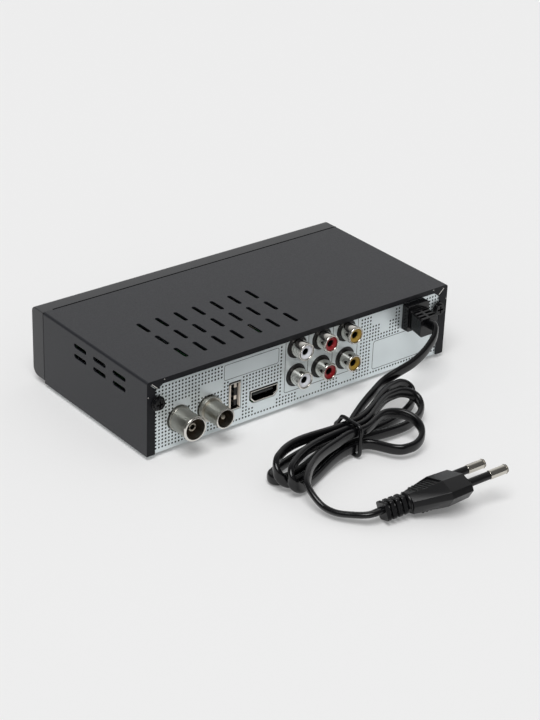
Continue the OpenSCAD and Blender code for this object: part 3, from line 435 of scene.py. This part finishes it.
tail = [(22, 89, 11.6), (31, 91.2, 11.2), (38.5, 94.2, 10.8), (45.5, 99, 10.4), (50.5, 104.5, 8.8),
        (51.5, 110, 6.4), (50.8, 115.5, 4), (49, 121, 3.4), (45.6, 126, 3.8)]
plug_at, plug_turn, plug_long = Vector((-0.3, 139.2, 10.4)), (170, 7.5, -22), 36.2
plug_before, plug_inside = 4.8, 1.5
on_plug = (Matrix.Translation(plug_at)
           @ Matrix.Rotation(math.radians(plug_turn[0]), 4, "Z")
           @ Matrix.Rotation(math.radians(-plug_turn[1]), 4, "Y")
           @ Matrix.Rotation(math.radians(plug_turn[2]), 4, "X"))


def fold(root, heading, reach, long, wide, z_in, z_out):
    """The bight at one end of the hank, as seven points round from its incoming to its outgoing run."""
    u = Vector((math.cos(math.radians(heading)), math.sin(math.radians(heading))))
    n, middle = Vector((-u.y, u.x)), Vector(root) + u * (reach - long)
    round_points = []
    for turn in (90, 60, 30, 0, -30, -60, -90):
        a = math.radians(turn)
        flat = middle + u * long * math.cos(a) - n * wide * math.sin(a)
        round_points.append((flat.x, flat.y, (z_in + z_out) / 2 + (z_in - z_out) / 2 * math.sin(a)))
    return round_points


route = lead + hank_in
for k in range(3):
    lane = first_lane + lane_step * k
    route += fold(*left_folds[k]) + [(tied_from, lane, low_row), (tied_to, lane, low_row)]
    route += fold(*right_folds[k]) + [(tied_to, lane, high_row), (tied_from, lane, high_row)]
tail_from = len(route)
route += tail + [on_plug @ Vector((x - plug_long, 0, 0)) for x in (-plug_before, 0, plug_inside)]
route = [Vector(p) for p in route]


def eased_line(points, step):
    """A smooth line through the points, as (place, heading, place in the list) every step millimetres."""
    lean = []
    for i, p in enumerate(points):
        if i in (0, len(points) - 1):
            lean.append((points[max(i, 1)] - points[max(i, 1) - 1]).normalized())
            continue
        back, on = p - points[i - 1], points[i + 1] - p
        a, b = back.length, on.length
        lean.append((on / b * a + back / a * b) / (a + b))
    line = []
    for i in range(len(points) - 1):
        span = (points[i + 1] - points[i]).length
        count = max(2, math.ceil(span / step))
        for k in range(count + (i == len(points) - 2)):
            t = k / count
            place = (points[i] * (2 * t ** 3 - 3 * t ** 2 + 1) + lean[i] * span * (t ** 3 - 2 * t ** 2 + t)
                     + points[i + 1] * (3 * t ** 2 - 2 * t ** 3) + lean[i + 1] * span * (t ** 3 - t ** 2))
            line.append((place, i + t))
    places = [p for p, _ in line]
    last = len(places) - 1
    headings = [(places[min(i + 1, last)] - places[max(i - 1, 0)]).normalized() for i in range(last + 1)]
    return [(p, h, i) for (p, i), h in zip(line, headings)]


def swept(work, line, outline, rolls):
    """Carries an outline of (across, over) points along a line, with closed ends."""
    rings = []
    for (place, heading, _), roll in zip(line, rolls):
        across = (Vector((0, 0, 1)) - heading * heading.z).normalized()
        over = heading.cross(across)
        a = math.radians(roll)
        across, over = across * math.cos(a) + over * math.sin(a), over * math.cos(a) - across * math.sin(a)
        rings.append([work.verts.new((place + across * u + over * v) / 1000) for u, v in outline])
    for near, far in zip(rings, rings[1:]):
        for k in range(len(outline)):
            work.faces.new((near[k - 1], near[k], far[k], far[k - 1]))
    work.faces.new(rings[0])
    work.faces.new(reversed(rings[-1]))


def rounded_oval(wide, thick, power, sides):
    """A flattened oval, squarer as the power rises."""
    points = []
    for k in range(sides):
        c, s = math.cos(2 * math.pi * k / sides), math.sin(2 * math.pi * k / sides)
        points.append((math.copysign(abs(c) ** (2 / power), c) * wide / 2,
                       math.copysign(abs(s) ** (2 / power), s) * thick / 2))
    return points


cord_line = eased_line(route, cord_step)
rolls = []
for _, _, i in cord_line:
    t = min(1, max(0, (i - tail_from) / (len(route) - 2 - tail_from)))
    rolls.append((90 + plug_turn[2]) * t * t * (3 - 2 * t))
work = bmesh.new()
swept(work, cord_line, rounded_oval(cord_wide, cord_thick, cord_square, cord_sides), rolls)
cord = placed("mains_cord", made_of(work, "mains_cord"), cord_vinyl,
              nodes=["cord_lead", "cord_hank", "cord_tail"], corner=60)


# Tie: one round band of black vinyl closed about the middle of the hank, which holds its strands in
# two rows. It is drawn in over the corner where the upper row has no strand.

slack_top, slack_run = Vector((0, 78.5, 15)), Vector((0, -3.9, -5.4))
slack_out, slack_pull, band_inside = Vector((0, -5.4, 3.9)).normalized(), 1.1, -1.2
tie_vinyl = finish("tie_vinyl", "#09090b", dull=0.22, grain=0.4, depth=0.005, shine=0.42)
tie = broken("hank_tie", "cord_tie", 0.05, tie_vinyl)
for point in tie.data.vertices:
    off = point.co * 1000 - slack_top
    along = off.dot(slack_run) / slack_run.length_squared
    if 0 < along < 1 and off.dot(slack_out) > band_inside:
        point.co -= slack_out * slack_pull * math.sin(math.pi * along) / 1000


# Plug: a flat two-pin plug moulded in black vinyl over the cord's end, with a ribbed relief behind it.
# Two nickel pins stand in half-length insulating sleeves.

plug_vinyl = finish("plug_vinyl", "#09090b", dull=0.34, grain=0.35, depth=0.006, shine=0.4)
pin_plate = finish("pin_plate", "#cdc9c0", dull=0.12, grain=3.0, depth=0.0005, metal=1.0, drift=0.06)
plug_body = broken("plug_moulding", "plug_body", 0.22, plug_vinyl, corner=22)
plug_sleeves = broken("plug_pin_sleeves", "plug_sleeves", 0.15, plug_vinyl)
plug_pins = broken("plug_pin_ends", "plug_pins", 0.2, pin_plate)


# Front panel: a front moulded in black resin, with a smoked acrylic window over the display. Tabs at
# its sides clip inside the tray's walls, and its top lies level with the cover.

front_resin = finish("front_resin", "#191a1e", dull=0.38, grain=0.3, depth=0.008, shine=0.58)
smoked_acrylic = finish("smoked_acrylic", "#030304", dull=0.09, grain=0.8, depth=0.001, shine=0.25)
broken("front_moulding", "front_panel", 0.5, front_resin)
broken("smoked_window", "display_window", 0.25, smoked_acrylic)


# Seam: a thin black strip of painted shadow in the gap between the front's rear edge and the cover.
# It lies just under the top, stops short of one end, and shows as a dark line.

seam_low, seam_high = (-84.4, -41.32, 36.9), (79.5, -40.4, 37.57)
# A black block where there is only the seam's shade: painted shadow.
seam_shadow_black = finish("seam_shadow_black", "#020203", dull=0.8, grain=0.3, depth=0.01, shine=0.05)
blocks("seam_painted_shadow", seam_shadow_black, [(seam_low, seam_high)])


# Keys: three round keys in grey resin through the front, each on a nylon plunger that works a switch
# on the front board. The display and the remote eye are moulded in dark red resin on that board.

key_resin = finish("key_resin", "#62646a", dull=0.36, grain=0.25, depth=0.006, metal=0.35)
plunger_nylon = finish("plunger_nylon", "#d2ccbc", dull=0.5, grain=0.25, depth=0.006)
display_resin = finish("display_resin", "#2d0b0c", dull=0.2, grain=0.5, depth=0.003)
eye_resin = finish("eye_resin", "#1a1014", dull=0.15, grain=0.5, depth=0.002)
for key in ("power", "channel_up", "channel_down"):
    broken(key + "_cap", key + "_button", 0.35, key_resin, key + "_key")
    coated(plunger_nylon, key + "_plunger")
coated(socket_black, "switch_housings")
coated(display_resin, "led_display")
coated(eye_resin, "ir_receiver")


# Top cover: one sheet of steel folded over the tray, slotted for air and stoved in dark grey.
# Its rear edge is flanged over the rear wall, with mitred corners; that face takes a darker, duller paint as
# painted shade.

flange_face = rear + 0.5
stoved_grey = finish("stoved_grey", "#12141b", dull=0.46, grain=0.45, depth=0.012, drift=0.06, shine=0.5)
flange_painted_shade = finish("flange_painted_shade", "#0e0f14", dull=0.55, grain=0.45, depth=0.012, drift=0.06, shine=0.25)
cover = broken("cover", "top_cover", 0.1, stoved_grey, corner=40)
# The rear flange face takes a darker, duller copy of the grey paint: painted shade.
cover.data.materials.append(flange_painted_shade)
for side in cover.data.polygons:
    if side.normal.y > 0.9 and side.center.y * 1000 > flange_face:
        side.material_index = 1


# Bare edges: bright steel that shows through the paint at the cover's two mitred corners and at a few
# rubbed spots on its flange. Each is a sliver that stands just proud of the face.

bare_y, bare_thick = rear + 0.55, 0.6
mitre = (81.1, 34.95, 3.9, 0.36, 42.7)
top_spot = (76.1, 36.9, 0.45, 0.3, 10)
side_spot = (84.4, 30.5, 0.3, 0.5, 0)
bare_steel = finish("bare_steel", "#dcdad5", dull=0.34, grain=0.2, depth=0.004, metal=0.5, drift=0.1)
work = bmesh.new()
for hand in (-1, 1):
    for x, z, long, wide, lean in (mitre, top_spot, side_spot):
        lie = (Matrix.Translation(Vector((hand * x, bare_y, z)) / 1000)
               @ Matrix.Rotation(math.radians(-hand * lean), 4, "Y")
               @ Matrix.Diagonal((long / 1000, bare_thick / 1000, wide / 1000, 1)))
        bmesh.ops.create_cube(work, size=1, matrix=lie)
placed("bare_edges", made_of(work, "bare_edges"), bare_steel)


# Cover screws: two black-plated pan-head screws with cross recesses. They go through the cover's side
# flanges into the rear wall.

black_screw = finish("black_screw", "#0e0e10", dull=0.22, grain=0.2, depth=0.004, metal=0.3)
broken("cover_screw_heads", "cover_screws", 0.15, black_screw)


# Set: a pale shooting table in an even white room that is darker behind the camera, one broad lamp
# overhead on the camera's side, and the camera where the photograph was taken.

table_colour = "#efefef"
table_lift, table_gap, table_half = 0.15, 0.00005, 4
room_strength = 0.42
bright_way, bright_span, bright_levels = (-0.63, -0.77, 0.1), (0.25, 0.9), (0.15, 1.0)
lamp_strength, lamp_spread, lamp_from = 2.0, 34, Vector((0.37, 0.33, 1.0))
camera_at, camera_lens = Vector((0.4801, 0.6040, 0.4103)), 94.45
forward = Vector((-0.55997, -0.68655, -0.46376)).normalized()
right = Vector((-0.78529, 0.61826, 0.03294)).normalized()


def seen_rays(nodes, join):
    """One for the rays that show a surface to the camera, straight or in a reflection, else nought."""
    ray = nodes.new("ShaderNodeLightPath")
    told = ray.outputs["Is Camera Ray"]
    for kind in ("Is Glossy Ray", "Is Transmission Ray"):
        most = nodes.new("ShaderNodeMath")
        most.operation = "MAXIMUM"
        join(told, most.inputs[0])
        join(ray.outputs[kind], most.inputs[1])
        told = most.outputs[0]
    return told, ray


table_white = linear(table_colour) + [1]
floor_paint = finish("floor_paint", table_colour, dull=0.8, grain=3.0, depth=0.0005, drift=0.0, shine=0.1)
nodes, join = floor_paint.node_tree.nodes, floor_paint.node_tree.links.new
lifted = nodes.new("ShaderNodeMath")
lifted.operation = "MULTIPLY"
lifted.inputs[1].default_value = table_lift
join(seen_rays(nodes, join)[0], lifted.inputs[0])
glow = nodes.new("ShaderNodeEmission")
glow.inputs["Color"].default_value = table_white
table = nodes.new("ShaderNodeMixShader")
join(lifted.outputs[0], table.inputs["Fac"])
join(nodes["Principled BSDF"].outputs[0], table.inputs[1])
join(glow.outputs[0], table.inputs[2])
join(table.outputs[0], nodes["Material Output"].inputs["Surface"])
work = bmesh.new()
bmesh.ops.create_grid(work, x_segments=2, y_segments=2, size=table_half)
floor = bpy.data.objects.new("floor", made_of(work, "floor"))
floor.data.materials.append(floor_paint)
floor.location.z = -table_gap
scene.collection.objects.link(floor)

room = bpy.data.worlds.new("room")
room.use_nodes = True
scene.world = room
nodes, join = room.node_tree.nodes, room.node_tree.links.new
lit = nodes["Background"]
lit.inputs["Color"].default_value = (1, 1, 1, 1)
lit.inputs["Strength"].default_value = room_strength
seen = nodes.new("ShaderNodeBackground")
seen.inputs["Color"].default_value = table_white
told, ray = seen_rays(nodes, join)
towards = nodes.new("ShaderNodeTexCoord")
away = nodes.new("ShaderNodeVectorMath")
away.operation = "DOT_PRODUCT"
away.inputs[1].default_value = bright_way
join(towards.outputs["Generated"], away.inputs[0])
dim = ranged(nodes, bright_span, bright_levels)
join(away.outputs["Value"], dim.inputs["Value"])
straight = nodes.new("ShaderNodeMath")
straight.operation = "MAXIMUM"
join(dim.outputs["Result"], straight.inputs[0])
join(ray.outputs["Is Camera Ray"], straight.inputs[1])
join(straight.outputs[0], seen.inputs["Strength"])
pick = nodes.new("ShaderNodeMixShader")
join(told, pick.inputs["Fac"])
join(lit.outputs[0], pick.inputs[1])
join(seen.outputs[0], pick.inputs[2])
join(pick.outputs[0], nodes["World Output"].inputs["Surface"])

lamp = bpy.data.lights.new("overhead_lamp", "SUN")
lamp.energy = lamp_strength
lamp.angle = math.radians(lamp_spread)
stand = bpy.data.objects.new("overhead_lamp", lamp)
stand.rotation_mode = "QUATERNION"
stand.rotation_quaternion = lamp_from.to_track_quat("Z", "Y")
scene.collection.objects.link(stand)

lens = bpy.data.cameras.new("camera")
lens.sensor_width = 36
lens.lens = camera_lens
lens.clip_start, lens.clip_end = 0.01, 20
camera = bpy.data.objects.new("camera", lens)
facing = Matrix((right, right.cross(forward), -forward)).transposed().to_4x4()
camera.matrix_world = Matrix.Translation(camera_at) @ facing
scene.collection.objects.link(camera)
scene.camera = camera
scene.view_settings.view_transform = "Standard"
